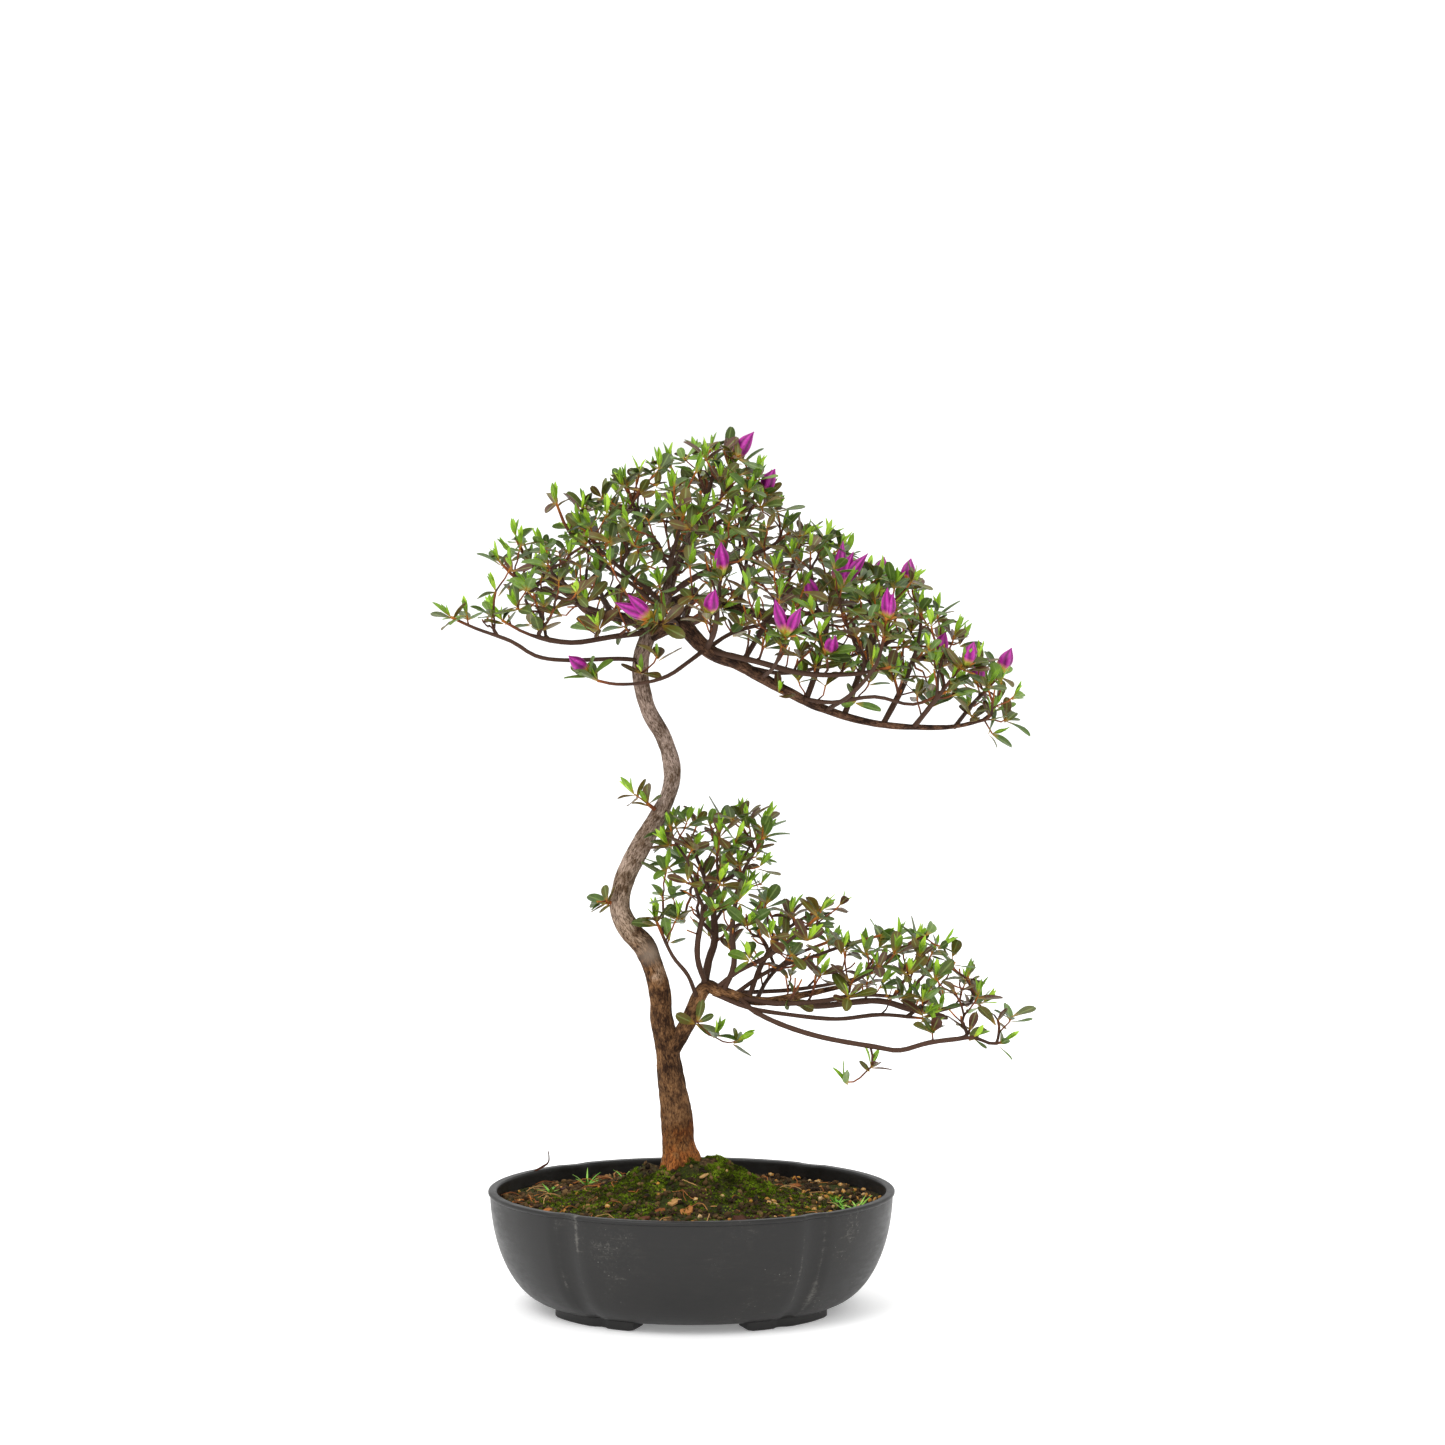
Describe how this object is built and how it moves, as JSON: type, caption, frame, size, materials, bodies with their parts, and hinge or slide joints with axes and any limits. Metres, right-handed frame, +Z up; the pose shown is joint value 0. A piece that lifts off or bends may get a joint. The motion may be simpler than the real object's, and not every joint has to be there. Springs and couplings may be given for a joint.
{
  "type": "potted flowering bonsai tree",
  "caption": "Slender azalea bonsai with a twisting trunk, leafy pads and magenta buds, in a dark oval four-lobed bonsai pot",
  "frame": {"origin": "bottom centre of the whole plant's box: on the surface that the pot's feet stand on, and midway between the tree's furthest reaches to the left and right and to the front and back", "axes": "+Z up the tree, +X to the right as seen from the front of the pot, -Y to the front"},
  "size_m": [0.3764, 0.201, 0.5653],
  "materials": {
    "pot_plastic": "moulded charcoal plastic, matte, a little dusty and scuffed",
    "screen_mesh": "woven dark green plastic mesh",
    "pumice_grit": "loose pale volcanic grit, dry and rough",
    "potting_soil": "dark crumbly bonsai soil, rough",
    "moss": "short cushion moss, velvety",
    "grass": "fresh green blades, satin",
    "bark_chip": "dry flaked bark, rough",
    "bark": "fissured bark, grey-brown above and warm brown below",
    "leaf": "leathery azalea leaves, satin, dark green with bright green young leaves",
    "petal": "rolled magenta petals, soft sheen"
  },
  "bodies": {
    "root": {"back_far_spray": "leaf", "back_mid_spray": "leaf", "bark_chip": "bark_chip", "crown_back_spray": "leaf", "crown_front_spray": "leaf", "crown_left_spray": "leaf", "crown_right_spray": "leaf", "crown_top_spray": "leaf", "drain_screen_left": "screen_mesh", "drain_screen_right": "screen_mesh", "drainage_grit": "pumice_grit", "flower_bud_centre": "petal", "flower_bud_crown": "petal", "flower_bud_front": "petal", "flower_bud_heart": "petal", "flower_bud_left": "petal", "flower_bud_low": "petal", "flower_bud_opening": "petal", "flower_bud_outer": "petal", "flower_bud_tall": "petal", "flower_bud_tip": "petal", "flower_bud_upper": "petal", "front_loop_spray": "leaf", "grass_left": "grass", "grass_right": "grass", "heart_front_spray": "leaf", "heart_left_spray": "leaf", "heart_right_spray": "leaf", "left_back_spray": "leaf", "left_mid_spray": "leaf", "left_outer_spray": "leaf", "left_tip_spray": "leaf", "lower_back_spray": "leaf", "lower_end_spray": "leaf", "lower_front_spray": "leaf", "lower_left_spray": "leaf", "lower_limb": "bark", "lower_mid_spray": "leaf", "lower_riser_left_spray": "leaf", "lower_riser_right_spray": "leaf", "lower_side_spray": "leaf", "moss_front": "moss", "moss_right": "moss", "pot": "pot_plastic", "right_front_spray": "leaf", "right_mid_front_spray": "leaf", "right_mid_spray": "leaf", "right_outer_mid_spray": "leaf", "right_outer_up_spray": "leaf", "right_tip_spray": "leaf", "right_tip_up_spray": "leaf", "right_upper_spray": "leaf", "shoulder_spray": "leaf", "soil": "potting_soil", "trunk": "bark", "trunk_high_spray": "leaf", "trunk_low_spray": "leaf", "upper_back_limb": "bark", "upper_left_limb": "bark", "upper_right_limb": "bark"}
  },
  "joints": []
}
